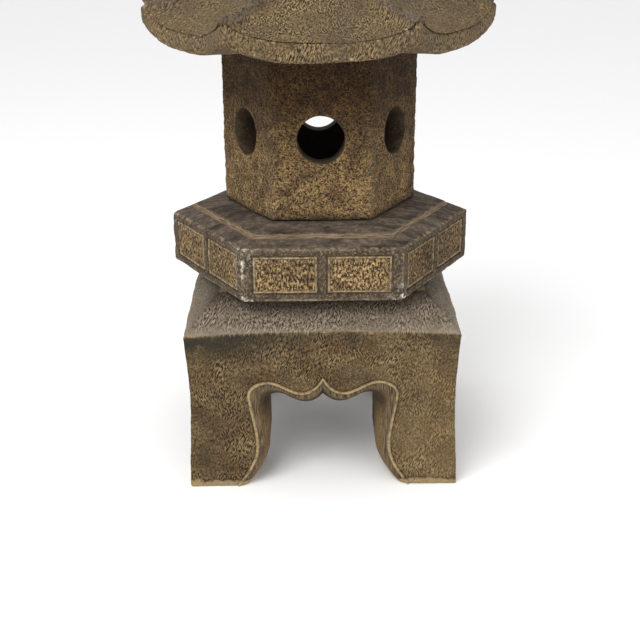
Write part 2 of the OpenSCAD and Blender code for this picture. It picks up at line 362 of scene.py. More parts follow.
def base_skin(sizes):
    """The square base: four carved sides with a leg opening, sloping top, seat and socket"""
    half = mm(BASE_HIGH.x)
    top = mm(BASE_HIGH.z)
    shoulder = mm(sizes.shoulder)
    bead, opening = bead_outline(), opening_outline()
    hollow = hollow_outline(mm(sizes.hollow))
    proud = mm(sizes.bead)
    border = side_outline(half, shoulder, mm(sizes.shoulder_arch))
    inner = moved_out(bead, -3.0)
    diagonal = at_depth(hollow, half, 0)
    diagonal[:, 1] = -np.abs(hollow[:, 0])

    # key curves from the border to the middle of the block: curve, steps to the next, masks
    keys = [(at_depth(border, half, 0), 1, dict(edge=1.0, face=1.0)),
            (at_depth(border + (bead - border) * 0.03, half, 0), 32, dict(face=1.0))]
    for out, depth, masks in [(4.4, 0.0, dict(face=1.0)), (3.2, 1.0, dict(face=0.6, groove=1.0)),
                              (2.0, -proud * 0.55, dict(line=0.6)), (0.7, -proud, dict(line=1.0)),
                              (-0.7, -proud, dict(line=1.0)), (-2.0, -proud * 0.5, dict(line=0.7))]:
        keys.append((at_depth(moved_out(bead, out), half, depth), 1, masks))
    for share, depth, steps, band in [
            (0.0, 1.8, 1, 1), (0.1, 2.4, 2, 1), (0.32, 3.0, 1, 1), (0.42, 5.0, 1, 0.7), (0.54, 9.0, 1, 0.3),
            (0.67, 14.0, 1, 0), (0.8, 21.0, 1, 0), (0.91, 30.0, 1, 0), (1.0, 44.0, 3, 0)]:
        keys.append((at_depth(inner + (opening - inner) * share, half, depth), steps,
                     dict(band=band, inside=1.0 - band)))
    apron = mm(sizes.apron)
    keys += [(at_depth(opening, half, apron - 3), 1, dict(inside=1.0, deep=0.1)),
             (at_depth(hollow, half, apron), 6, dict(inside=1.0, deep=0.12)),
             (diagonal, 0, dict(inside=1.0, deep=1.0))]
    curves = [key[0] for key in keys]
    steps = [key[1] for key in keys[:-1]]
    names = ("edge", "face", "line", "groove", "band", "inside", "deep")
    width = len(border)
    masks = {name: loft([np.full(width, key[2].get(name, 0.0)) for key in keys], steps) for name in names}
    points = loft(curves, steps)
    outer = 1 - np.clip((points[:, :, 1] + half) / 30, 0, 1)
    middle_height = np.clip(points[:, :, 2] / shoulder, 0, 1)
    pull = 1 - mm(sizes.waist) / half * outer * np.sin(np.pi * middle_height ** 1.25) ** 1.2
    depth_in = points[:, :, 1] + half
    points[:, :, 0] *= pull
    points[:, :, 1] *= pull
    arris = np.clip(1 - (half - np.abs(points[:, :, 0])) / 5, 0, 1) * outer
    masks["edge"] = np.maximum(masks["edge"], arris)
    masks["foot"] = np.clip(1 - points[:, :, 2] / 22, 0, 1)
    uv = np.stack([points[:, :, 0] - np.sign(points[:, :, 0]) * depth_in, points[:, :, 2]], axis=2)
    skin = Skin("base_stone", (*names, "foot", "slope", "bed"))
    skin.patch(points, uv, 4, **masks)

    # the sloping top, the seat and the socket, in the columns of the shoulder
    corner = FOOT + LEG + ARCH
    ridge = points[0, corner:-corner]
    share = ridge[:, 0] / half
    seat = mm(sizes.seat)
    angle = share * math.pi / 4
    key_r = mm(sizes.key)
    floor = top - 25

    def square(w, z):
        return np.stack([share * w, np.full(len(share), -w), np.full(len(share), z)], axis=1)

    slope_up = ridge + (square(seat, top) - ridge) * 0.035
    slope_up[:, 2] += 0.6
    rows = loft([ridge, slope_up, square(seat + 4, top - 2.5), square(seat - 1, top), square(key_r + 50, top),
                 arc_row(angle, key_r + 2, top), arc_row(angle, key_r, top - 2),
                 arc_row(angle, key_r, floor + 2), arc_row(angle, key_r - 2, floor),
                 arc_row(angle, 0, floor)], [1, 24, 2, 3, 4, 1, 3, 1, 4])
    slope = np.zeros(rows.shape[:2])
    slope[1:26] = 1
    bed = np.zeros(rows.shape[:2])
    bed[27:] = 1
    edge = np.zeros(rows.shape[:2])
    edge[0] = 1
    uv = np.stack([rows[:, :, 0], shoulder + (half + rows[:, :, 1]) * 1.3], axis=2)
    skin.patch(rows, uv, 4, slope=slope, bed=bed, edge=edge)
    return skin


def base_relief(point, masks):
    """Hand-dressed unevenness, worn arrises and a soft chiselled surface"""
    if masks["bed"] > 0.5:
        return -0.25
    swell = 1.3 * rough(point, 90, 2, 3.0) + 0.5 * rough(point, 24, 3, 7.0)
    tooling = (masks["face"] + masks["slope"]) * 0.35 * rough(point, 6, 2, 1.0)
    chips = masks["edge"] * (0.5 + 2.0 * max(0.0, rough(point, 22, 3, 5.0) - 0.1))
    foot = masks["foot"] ** 3 * 2.0 * max(0.0, rough(point, 16, 2, 9.0))
    wear = masks["line"] * 0.8 * rough(point, 14, 2, 2.0)
    return swell * (1 - 0.6 * masks["line"]) + tooling - chips - foot + wear


# ---------------------------------------------------------------- platform

KNOCKS = (((-133, -222, 405), 42), ((-132, -226, 345), 34), ((128, -226, 342), 34),
          ((-262, 0, 424), 26), ((131, 226, 420), 40))  # knocked corners (mm) and how far that shows
LINE_STEPS = (-0.7, 0.7, 2.0, 3.1, 4.6, 5.8)  # from a panel's edge across its raised line


def hex_row(across, flat, z):
    """One side of a hexagon: share of the half side across, distance of the flat from the middle, height"""
    return np.stack([across * flat * TAN30, np.full(len(across), -flat), np.full(len(across), z)], axis=1)


def platform_skin(sizes):
    """The six-sided platform: key, underside, panelled sides, stepped top and boss"""
    low = mm(BASE_HIGH.z)
    flat = mm(PLATFORM_HIGH.y)
    side = flat * TAN30
    top, sill, head, bevel = RIM, 13, 79, 4
    inner, outer = 6.5, side - 16.5
    half_breaks = [0, side - 2.5, side, *(inner + s for s in LINE_STEPS), *(outer - s for s in LINE_STEPS)]
    half = stepped(sorted(half_breaks), 2.6)
    columns = np.concatenate([-half[:0:-1], half])
    across = columns / side
    angle = across * math.pi / 6
    height_breaks = [bevel, top - bevel, *(sill + s for s in LINE_STEPS), *(head - s for s in LINE_STEPS)]
    heights = stepped(sorted(height_breaks), 2.6)
    boss_r = mm(sizes.chamber) - CLEARANCE
    key_r = mm(sizes.key) - CLEARANCE

    rows = []
    worked = {name: [] for name in ("bed", "edge", "riser")}

    def run(curves, steps, **values):
        """Adds the rows from the last one through these key curves, with their masks"""
        part = loft(rows[-1:] + curves, steps)[len(rows[-1:]):]
        rows.extend(part)
        for name, kept in worked.items():
            kept.extend([values.get(name, 0.0)] * len(part))

    run([arc_row(angle, 0, -22), arc_row(angle, key_r - 2, -22), arc_row(angle, key_r, -20),
         arc_row(angle, key_r, 0)], [3, 1, 2], bed=1.0)
    run([hex_row(across, flat - bevel - 56, 0), hex_row(across, flat - bevel, 0)], [5, 14], bed=0.6)
    run([hex_row(across, flat - 1.2, 1.2), hex_row(across, flat, bevel)], [1, 1], edge=1.0)
    first_side = len(rows)
    for z in heights[1:]:
        run([hex_row(across, flat, z)], [1])
    last_side = len(rows)
    run([hex_row(across, flat - 1.2, top - 1.2), hex_row(across, flat - bevel, top)], [1, 1], edge=1.0)
    step_flat = 224 * COS30
    run([hex_row(across, step_flat + 5.5, top + 8.8), hex_row(across, step_flat + 4, top + 8)], [11, 1])
    run([hex_row(across, step_flat + 2.8, top + 9), hex_row(across, step_flat - 1.6, top + 14)], [1, 2],
        riser=1.0)
    run([hex_row(across, step_flat - 3, top + 15)], [1], edge=0.6)
    run([hex_row(across, 152, SEAT - 0.4), hex_row(across, 148, SEAT)], [14, 1])
    run([hex_row(across, 128, SEAT), arc_row(angle, boss_r + 1, SEAT), arc_row(angle, boss_r, SEAT + 1),
         arc_row(angle, boss_r, SEAT + 13), arc_row(angle, boss_r - 2, SEAT + 14),
         arc_row(angle, 0, SEAT + 14)], [2, 2, 1, 2, 1, 5], bed=1.0)
    points = np.array(rows)
    points[:, :, 2] += low

    x = np.abs(points[:, :, 0])
    z = points[:, :, 2] - low
    into = np.minimum(np.minimum(x - inner, outer - x), np.minimum(z - sill, head - z))
    on_side = np.zeros(points.shape[:2])
    on_side[first_side:last_side] = 1
    depth = mm(sizes.panel_depth)
    sink = np.interp(into, LINE_STEPS, [0, depth, depth, depth * 0.2, depth * 0.2, depth]) * on_side
    points[:, :, 1] += sink
    line = np.interp(into, [1.6, 2.8, 5.0, 6.0], [0, 1, 1, 0]) * on_side
    sunk = np.interp(into, [5.0, 6.2], [0, 1]) * on_side

    def column(values):
        return np.repeat(np.array(values)[:, None], points.shape[1], axis=1)

    arris = np.clip(1 - (side - np.abs(columns)) / 3.5, 0, 1)[None, :] * on_side
    skin = Skin("platform_stone", ("edge", "line", "sunk", "frame", "riser", "bed"))
    masks = {name: column(kept) for name, kept in worked.items()}
    masks["edge"] = np.maximum(masks["edge"], arris)
    frame_mask = on_side * (1 - sunk) * (1 - line)
    skin.patch(points, climbing(points), 6, line=line, sunk=sunk, frame=frame_mask, **masks)
    return skin


def platform_relief(point, masks):
    """Picked panels, rubbed margins and chipped arrises"""
    if masks["bed"] > 0.9:
        return -0.25
    swell = 0.9 * rough(point, 80, 2, 4.0) + 0.4 * rough(point, 18, 3, 8.0)
    pick = masks["sunk"] * (1.0 * rough(point, 7, 2, 6.0) - 1.6 * pits(point, 8, 2.0) + 0.6)
    chips = masks["edge"] * (0.2 + 1.8 * max(0.0, rough(point, 34, 4, 1.0) - 0.1))
    for corner, reach in KNOCKS:
        near = max(0.0, 1.0 - (point - Vector(corner)).length / reach)
        chips += masks["edge"] * near * 2.2 * max(0.0, 0.35 + rough(point, 12, 3, 4.0))
    wear = masks["line"] * 0.7 * rough(point, 11, 2, 3.0)
    frame_wear = masks["frame"] * 0.45 * rough(point, 7, 2, 12.0)
    return swell * (1 - masks["bed"]) + pick - chips + wear + frame_wear - 0.2 * masks["bed"]


# ---------------------------------------------------------------- fire box

ARRIS_R, FILLET_R = 8.0, 6.0  # rounding of upright and of level edges
ACROSS, UPRIGHT = 27, 43  # columns on half a level, half an upright edge


def firebox_skin(sizes):
    """The six-sided fire box: picked faces round a window, its reveal, and the round chamber"""
    low, high = mm(BASE_HIGH.z) + SEAT, mm(FIREBOX_HIGH.z)
    height = high - low
    flat = mm(FIREBOX_HIGH.y)
    face_half = flat * TAN30 - ARRIS_R * TAN30
    unrolled = face_half + ARRIS_R * math.pi / 6
    roll = FILLET_R * math.pi / 2
    tall = height - 2 * FILLET_R + 2 * roll
    window, chamber = mm(sizes.window), mm(sizes.chamber)

    def outside(s, h):
        """A place on the rolled-out face: s across from its middle, h up from its lower border"""
        turn = np.maximum(np.abs(s) - face_half, 0) / ARRIS_R
        dip = np.maximum(roll - h, 0) / FILLET_R + np.maximum(h - (tall - roll), 0) / FILLET_R
        inset = FILLET_R * (1 - np.cos(dip))
        z = np.where(h < tall / 2, FILLET_R + np.maximum(h - roll, 0) - FILLET_R * np.sin(dip),
                     height - FILLET_R - np.maximum(tall - roll - h, 0) + FILLET_R * np.sin(dip))
        x = np.sign(s) * (np.minimum(np.abs(s), face_half) + (ARRIS_R - inset) * np.sin(turn))
        y = -(flat - ARRIS_R) - (ARRIS_R - inset) * np.cos(turn)
        return np.stack([x, y, z + low], axis=-1)

    def inside(s, z):
        """A place on the chamber's wall"""
        return np.stack([chamber * np.sin(s / chamber), -chamber * np.cos(s / chamber), z + low], axis=-1)

    # once round the face, from the middle of its lower border, and the matching angles round the window
    quarter = np.vstack([bezier([(0, 0), (1, 0)], ACROSS), bezier([(1, 0), (1, 1)], UPRIGHT)[1:]])
    corner = math.atan2(tall / 2, unrolled)
    quarter_angle = np.concatenate([np.linspace(-math.pi / 2, -corner, ACROSS + 1),
                                    np.linspace(-corner, 0, UPRIGHT + 1)[1:]])
    right = np.vstack([quarter, (quarter * [1, -1] + [0, 2])[::-1][1:]])
    right_angle = np.concatenate([quarter_angle, -quarter_angle[::-1][1:]])
    border = np.vstack([right, (right * [-1, 1])[::-1][1:]])
    angle = np.concatenate([right_angle, (math.pi - right_angle)[::-1][1:]])
    rim = np.stack([np.cos(angle), np.sin(angle)], axis=1)
    centre = tall / 2

    flat_border = np.stack([border[:, 0] * unrolled, border[:, 1] * tall / 2], axis=1)
    rolled = loft([flat_border, rim * (window + 1.4) + [0, centre]], [31])
    face = outside(rolled[:, :, 0], rolled[:, :, 1])
    around = rim * window
    sagitta = flat - np.sqrt(chamber ** 2 - around[:, 0] ** 2)

    def bore(r, depth):
        return np.stack([rim[:, 0] * r, -flat + np.full(len(rim), 1.0) * depth,
                         rim[:, 1] * r + low + height / 2], axis=1)

    reveal = loft([face[-1], bore(window + 0.4, 0.7), bore(window, 2.5), bore(window, sagitta)], [1, 1, 5])
    wall_rim = np.stack([np.arcsin(around[:, 0] / chamber) * chamber, around[:, 1] + height / 2], axis=1)
    wall_border = np.stack([border[:, 0] * chamber * math.pi / 6, border[:, 1] * height / 2], axis=1)
    wall_flat = loft([wall_rim, wall_border], [8])
    wall = inside(wall_flat[:, :, 0], wall_flat[:, :, 1])

    skin = Skin("fire_box_stone", ("edge", "face", "reveal", "inside", "bed"))
    from_window = np.hypot(rolled[:, :, 0], rolled[:, :, 1] - centre) - window
    rim_wear = np.clip(1 - from_window / 7, 0, 1)
    upright = np.clip(1 - (unrolled - np.abs(rolled[:, :, 0])) / 14, 0, 1)
    level = np.clip(1 - np.minimum(rolled[:, :, 1], tall - rolled[:, :, 1]) / 14, 0, 1)
    skin.patch(face, rolled, 6, face=1 - 0.5 * rim_wear, edge=np.maximum(upright, level))
    depth_in = np.clip((reveal[:, :, 1] + flat) / 34, 0, 1)
    smoked = 1 - depth_in ** 0.6
    smoked[0] = 0
    skin.patch(reveal, reveal[:, :, :2], 6, reveal=smoked, inside=depth_in ** 0.6)
    skin.patch(wall, wall_flat, 6, inside=1.0)

    # the level rings above and below, in the columns of the level borders
    n = 2 * ACROSS
    bottom = np.r_[len(border) - 1 - ACROSS:len(border), 1:ACROSS + 1]
    top_run = np.arange(ACROSS + 2 * UPRIGHT, ACROSS + 2 * UPRIGHT + n + 1)
    for run in (bottom, top_run):
        ring = loft([face[0, run], wall[-1, run]], [5])
        skin.patch(ring, ring[:, :, :2], 6, bed=1.0)
    return skin


def firebox_relief(point, masks):
    """Pick-dressed faces with deep pits, softer towards the edges and windows"""
    if masks["bed"] > 0.6:
        return -0.2
    swell = 0.8 * rough(point, 90, 2, 2.0)
    pick = masks["face"] * (0.9 * rough(point, 8, 2, 5.0) - 1.3 * pits(point, 7, 4.0) + 0.4)
    edge = masks["edge"] * (0.9 * rough(point, 15, 3, 6.0) - 0.8 * max(0.0, rough(point, 40, 3, 3.0)))
    inner = masks["inside"] * 1.2 * rough(point, 14, 2, 9.0)
    return swell + pick + edge + inner - 0.2 * masks["edge"]


# ---------------------------------------------------------------- roof

def roof_skin(sizes):
    """The six-sided roof: boss, soffit, lifted eave, hollow slopes and rounded hip ridges"""
    low, crown_z = mm(FIREBOX_HIGH.z), mm(FINIAL_LOW.z) + FINIAL_KEY
    height = crown_z - low
    corner_r = 300.0
    eave, lift, crown = 34.0, 30.0, 66.0
    ridge_half, ridge_h = 13.0, 9.0
    near = np.array([0, 0.006, 0.014, 0.024, 0.036, 0.048, 0.06, 0.075])
    half = np.concatenate([near, stepped([0.09, 0.5], 0.0125)])
    t = np.concatenate([half, 1 - half[::-1][1:]])
    bend = np.abs(2 * t - 1) ** 3

    def ring(r, z, raised):
        a = np.array([math.sin(math.radians(-30)), -math.cos(math.radians(-30))])
        b = a * [-1, 1]
        xy = r * (a + (b - a) * t[:, None])
        return np.column_stack([xy, z + raised * bend])

    angle = (t - 0.5) * math.pi / 3
    boss = mm(sizes.chamber) - CLEARANCE
    under = loft([arc_row(angle, 0, -14), arc_row(angle, boss - 2, -14), arc_row(angle, boss, -12),
                  arc_row(angle, boss, 0), ring(164, 0, 0), ring(190, 0.6, 2),
                  ring(corner_r - 14, 3, lift * 0.8), ring(corner_r - 5, 5, lift * 0.88),
                  ring(corner_r - 3, 8, lift * 0.92)], [4, 1, 2, 5, 4, 26, 3, 1])
    fascia = loft([ring(corner_r - 3, 8, lift * 0.92), ring(corner_r - 2, eave - 7, lift),
                   ring(corner_r - 3.5, eave - 2, lift), ring(corner_r - 8, eave + 0.6, lift)], [7, 2, 1])
    s = np.linspace(0, 1, 78)[1:]
    rise = eave + (height - eave) * (0.45 * s + 0.55 * s ** 2.6)
    radius = corner_r + (crown - corner_r) * s
    slope = np.array([ring(r, z, lift * (1 - q) ** 2.4) for r, z, q in zip(radius, rise, s)])
    from_hip = radius[:, None] * np.minimum(t, 1 - t)[None, :] * 0.866
    ridge = np.clip(1 - (from_hip / ridge_half) ** 2, 0, 1) ** 0.6
    fade = np.clip((1 - s) / 0.08, 0, 1)[:, None]
    slope[:, :, 2] += ridge_h * ridge * fade
    joined = loft([fascia[-1], slope[0]], [1])[1:]
    crown_rows = loft([slope[-1], arc_row(angle, 46, height), arc_row(angle, 28, height),
                       arc_row(angle, 26, height - 2), arc_row(angle, 26, height - 28),
                       arc_row(angle, 0, height - 29)], [3, 2, 1, 4, 3])[1:]
    points = np.concatenate([under, fascia[1:], joined, slope[1:], crown_rows])
    points[:, :, 2] += low

    def rows_mask(spans):
        mask = np.zeros(points.shape[:2])
        for a, b in spans:
            mask[a:b] = 1
        return mask

    n_under, n_fascia, n_slope = len(under), len(fascia) - 1, len(slope)
    start = n_under + n_fascia
    slope_mask = rows_mask([(start, start + n_slope)])
    ridge_mask = np.zeros(points.shape[:2])
    ridge_mask[start:start + n_slope] = ridge * fade
    skin = Skin("roof_stone", ("slope", "ridge", "edge", "bed"))
    skin.patch(points, climbing(points), 6, slope=slope_mask, ridge=ridge_mask,
               edge=rows_mask([(n_under - 3, n_under + 1), (start - 2, start + 2)]),
               bed=rows_mask([(0, 13), (start + n_slope, len(points))]))
    return skin


def roof_relief(point, masks):
    """Chiselled slopes, rubbed ridges and a chipped eave"""
    if masks["bed"] > 0.5:
        return -0.25
    swell = 1.4 * rough(point, 100, 2, 6.0) + 0.6 * rough(point, 22, 3, 2.0)
    tooling = masks["slope"] * (1 - masks["ridge"]) * 0.5 * rough(point, 7, 2, 3.0)
    chips = masks["edge"] * (1.0 + 3.2 * max(0.0, rough(point, 26, 3, 8.0)))
    return swell + tooling - chips - 0.4


# ---------------------------------------------------------------- turned pieces

def turned(profile, steps):
    """A closed shape spun from a profile of radius and height (mm) that starts and ends on the axis"""
    bm = bmesh.new()
    verts = [bm.verts.new((r * MM, 0, z * MM)) for r, z in profile]
    edges = [bm.edges.new(pair) for pair in zip(verts, verts[1:])]
    bmesh.ops.spin(bm, geom=verts + edges, cent=(0, 0, 0), axis=(0, 0, 1), angle=2 * math.pi,
                   steps=steps, use_merge=True)
    bmesh.ops.remove_doubles(bm, verts=bm.verts, dist=1e-5)
    bmesh.ops.recalc_face_normals(bm, faces=bm.faces)
    bm.normal_update()
    return bm


def finial_form():
    """A bud on a petalled collar, with a key that stands in the roof's socket"""
    low = mm(FINIAL_LOW.z) + FINIAL_KEY
    high = mm(FINIAL_HIGH.z) - low
    bud_z = 52
    profile = path(
        (0, -FINIAL_KEY),
        ([(21, -FINIAL_KEY)], 3), ([(23, 2 - FINIAL_KEY)], 1), ([(23, 0)], 3), ([(47, 0)], 5), ([(50, 3)], 2),
        ([(50, 13)], 4),
        ([(47, 18), (37, 18), (29, 24)], 9),
        ([(28, 28), (33, 32), (40, 35)], 8), ([(44, 38), (43, 44), (38, 48)], 8),
        ([(34, 51), (30, 51), (29, bud_z)], 5),
        ([(46, bud_z + 10), (62, bud_z + 46), (20, high - 26)], 34),
        ([(12, high - 18), (5, high - 11), (3, high - 1)], 12),
        ([(2, high), (1, high), (0, high)], 3))
    profile[:, 1] += low
    bm = turned(profile, 120)
    for vert in bm.verts:
        point = vert.co / MM
        z = point.z - low
        turn = math.atan2(point.y, point.x)
        amount = 0.7 * rough(point, 40, 2, 3.0) + 0.35 * rough(point, 6, 2, 5.0)
        if 31 < z < 50:
            amount += 2.2 * abs(math.sin(turn * 6)) ** 0.6 * math.sin(math.pi * (z - 31) / 19) - 1.2
        if z < 0.5:
            amount = -0.2
        vert.co += vert.normal * (amount - 0.4) * MM
    return bm


def dish_form():
    """A shallow glazed saucer on a foot ring, with a rolled rim"""
    low = mm(DISH_LOW.z)
    r, h = mm(DISH_HIGH.x), mm(DISH_HIGH.z) - low
    foot = 27
    profile = path(
        (0, 3),
        ([(foot - 6, 3)], 5), ([(foot - 5, 2), (foot - 5, 0), (foot - 4, 0.2)], 4),
        ([(foot - 2, 0), (foot - 1, 0), (foot, 0.8)], 3),
        ([(foot, 4), (foot + 1, 5), (foot + 4, 5)], 5),
        ([(r * 0.8, 6), (r - 2, h * 0.45), (r, h - 2)], 16),
        ([(r + 0.3, h), (r - 4, h + 0.4), (r - 5, h - 2)], 8),
        ([(r - 8, h * 0.5), (r * 0.7, 9), (foot, 9)], 16), ([(0, 9)], 8))
    profile[:, 1] += low
    bm = turned(profile, 96)
    for vert in bm.verts:
        point = vert.co / MM
        vert.co += vert.normal * 0.25 * rough(point, 22, 2, 4.0) * MM if point.z - low > 1 else Vector()
    return bm


# ---------------------------------------------------------------- materials

def plain(name):
    """A material with only its shader, and its node tree"""
    material = bpy.data.materials.new(name)
    material.use_nodes = True
    return material, material.node_tree


def add(tree, kind, *inputs, out=None, **settings):
    """Adds a shader node with its settings, and fills the sockets that it uses, in their order, with values
    or with other nodes' outputs. Gives the output of that name, or else the first one."""
    node = tree.nodes.new("ShaderNode" + kind)
    for key, value in settings.items():
        setattr(node, key, value)
    for socket, value in zip([socket for socket in node.inputs if socket.enabled], inputs):
        if isinstance(value, bpy.types.NodeSocket):
            tree.links.new(value, socket)
        elif socket.type == "RGBA":
            socket.default_value = (*value, 1.0)
        else:
            socket.default_value = value
    return node.outputs[out] if out else next(socket for socket in node.outputs if socket.enabled)


def places(tree, *masks):
    """Where a point is (on its surface, in space, above the ground), and how much of each mask it carries"""
    surface = add(tree, "UVMap", uv_map="surface")
    space = add(tree, "TexCoord", out="Object")
    height = add(tree, "SeparateXYZ", space, out="Z")
    return surface, space, height, *[add(tree, "Attribute", attribute_name=name, out="Fac") for name in masks]


def mottle(tree, where, size, low, high, top=1.0, detail=2.0, roughness=0.5):
    """Patches of about that size (mm): 0 where their noise is below low, and top where it is above high"""
    lumps = add(tree, "TexNoise", where, 1 / (size * MM), detail, roughness)
    return add(tree, "MapRange", lumps, low, high, 0.0, top)


def strokes(tree, surface, size, low, high, angle=0.0, detail=1.5, roughness=0.5):
    """The same, with patches drawn out to a width and height (mm) on the surface, at an angle to the level"""
    across, up = size
    drawn = add(tree, "Mapping", surface, (0, 0, 0), (0, 0, math.radians(angle)),
                (across * MM, up * MM, across * MM), vector_type="TEXTURE")
    lumps = add(tree, "TexNoise", drawn, 1.0, detail, roughness)
    return add(tree, "MapRange", lumps, low, high)


def round_patch(tree, space, place, reach):
    """1 round a place (mm), and 0 where it is farther away than its reach (mm)"""
    away = add(tree, "VectorMath", space, Vector(place) * MM, operation="DISTANCE")
    return add(tree, "MapRange", away, reach * MM, reach * MM / 3)


def over(tree, ground, tint, *shares, mode="MIX"):
    """Lays a tint over the ground, as strongly as its shares come to when they are multiplied"""
    share = shares[0]
    for more in shares[1:]:
        share = add(tree, "Math", share, more, operation="MULTIPLY")
    return add(tree, "Mix", share, ground, tint, data_type="RGBA", blend_type=mode)


def dressed(tree, ground, height, depth, roughness):
    """Gives a dry stone its colour, and a relief of that depth (mm) where its height goes from 0 to 1"""
    shader = tree.nodes["Principled BSDF"]
    shader.inputs["Roughness"].default_value = roughness
    shader.inputs["Specular IOR Level"].default_value = 0.25
    tree.links.new(ground, shader.inputs["Base Color"])
    relief = add(tree, "Bump", 1.0, depth * MM, 0.1, height)
    tree.links.new(relief, shader.inputs["Normal"])


def chisel_pattern(tree, surface, space):
    """Rows of short chisel strokes that lean one way, then the other, and are pecked over in places: 0 in the
    cuts and 1 on the ridges. The noise behind a stroke is 6 or 7 mm long and 2.3 mm wide."""
    rows = strokes(tree, surface, (70, 16), 0.47, 0.53)
    right = strokes(tree, surface, (7, 2.3), 0.4, 0.6, 66)
    left = strokes(tree, surface, (6, 2.3), 0.4, 0.6, 104)
    pecked = mottle(tree, space, 3.4, 0.39, 0.61, 1.0, 4.0, 0.75)
    leaning = add(tree, "Mix", rows, right, left)
    return add(tree, "Mix", mottle(tree, space, 50, 0.46, 0.6, 0.75), leaning, pecked)


def chiselled_stone(c):
    """Brown sandstone dressed with a narrow chisel: fine rows of strokes, rubbed beads and damp grime"""
    material, tree = plain("chiselled_sandstone")
    surface, space, z, face, slope, bed, band, inside, deep, groove, line, foot = places(
        tree, "face", "slope", "bed", "band", "inside", "deep", "groove", "line", "foot")
    pattern = chisel_pattern(tree, surface, space)

    # upright faces
    ridges = over(tree, c.base_light, c.base_warm, mottle(tree, space, 45, 0.42, 0.62))
    ground = over(tree, c.base_dark, ridges, pattern)
    ground = over(tree, ground, c.base_dark, mottle(tree, space, 60, 0.42, 0.72, 0.6, 4.0, 0.6))
    ground = over(tree, ground, c.base_light, round_patch(tree, space, (235, -230, 80), 260), 0.16)
    ground = over(tree, ground, c.base_dark, round_patch(tree, space, (-215, -230, 90), 220), 0.16)

    # sloping top, with a painted highlight along its lower edge and painted shade where the platform
    # overhangs it
    top = over(tree, c.slope_dark, c.slope_light, pattern)
    # painted highlight: the slope is paler along the shoulder's crease
    top = over(tree, top, c.slope_light, add(tree, "MapRange", z, 0.296, 0.282), 0.6)
    # painted shade: darker up under the platform's overhang, in the soot colour
    top = over(tree, top, c.soot_and_shade, add(tree, "MapRange", z, 0.306, 0.334), 0.85)
    ground = over(tree, ground, top, slope)
    seat = over(tree, c.smooth, c.smooth_light, mottle(tree, space, 12, 0.35, 0.7, 1.0, 4.0, 0.7))
    ground = over(tree, ground, seat, bed)

    # the rubbed band inside the bead, and the walls of the opening, with painted shade up under the arch and
    # deep inside
    scratches = strokes(tree, surface, (2.4, 26), 0.38, 0.62, 0, 3.0, 0.6)
    rubbed = over(tree, c.base_dark, c.base_light, scratches, 0.8)
    rubbed = over(tree, rubbed, c.smooth, 0.38)
    ground = over(tree, ground, rubbed, band)
    walls = over(tree, c.base_dark, c.base_light, strokes(tree, surface, (6, 90), 0.32, 0.66, 0, 4.0, 0.65))
    walls = over(tree, walls, c.base_warm, 0.5)
    walls = over(tree, walls, c.base_dark, mottle(tree, space, 4, 0.45, 0.62, 0.55, 4.0, 0.7))
    # painted shade: the opening's walls darken towards the arch and deep in the hollow
    dark = add(tree, "Math", add(tree, "MapRange", z, 0.105, 0.15), add(tree, "MapRange", deep, 0.05, 1.0),
               operation="MAXIMUM")
    walls = over(tree, walls, c.base_dark, dark, 0.8)
    ground = over(tree, ground, walls, inside)

    # damp under the shoulder and along one arris
    under = add(tree, "MapRange", z, 0.22, 0.28, 0.0, 0.7)
    ground = over(tree, ground, c.soot_and_shade, under, mottle(tree, space, 40, 0.3, 0.7, 1.0, 3.0), face)
    ragged = mottle(tree, space, 18, 0.2, 0.52, 0.9, 4.0, 0.65)
    high = add(tree, "MapRange", z, 0.225, 0.262)
    ground = over(tree, ground, c.moss, round_patch(tree, space, (-235, -235, 282), 240), high, ragged, face)

    # painted shade in the groove beside the bead, the bead, and feet that are dark where they meet the ground
    # and pale where they are chipped
    # painted shade: the groove beside the bead is darkened with the pit colour
    ground = over(tree, ground, c.pit_and_shade, groove, 0.8)
    ground = over(tree, ground, c.line, line, mottle(tree, space, 7, 0.22, 0.58, 0.95, 3.0))
    rim = add(tree, "Math", foot, mottle(tree, space, 20, 0.0, 1.0, 1.0, 3.0), operation="ADD")
    rim = add(tree, "Math", rim, add(tree, "MapRange", foot, 0.0, 0.3), operation="MULTIPLY")
    ground = over(tree, ground, c.soot_and_shade, add(tree, "MapRange", rim, 0.78, 0.9), 0.5)
    pale = over(tree, c.base_light, c.line, mottle(tree, space, 3, 0.3, 0.6))
    ground = over(tree, ground, pale, add(tree, "MapRange", rim, 0.95, 1.15), 0.9)

    tooled = add(tree, "Math", face, slope, operation="ADD", use_clamp=True)
    cuts = add(tree, "Math", pattern, tooled, operation="MULTIPLY")
    height = add(tree, "Math", cuts, mottle(tree, space, 2.5, 0.0, 1.0, 0.5), operation="ADD")
    dressed(tree, ground, height, 1.2, 0.88)
    return material


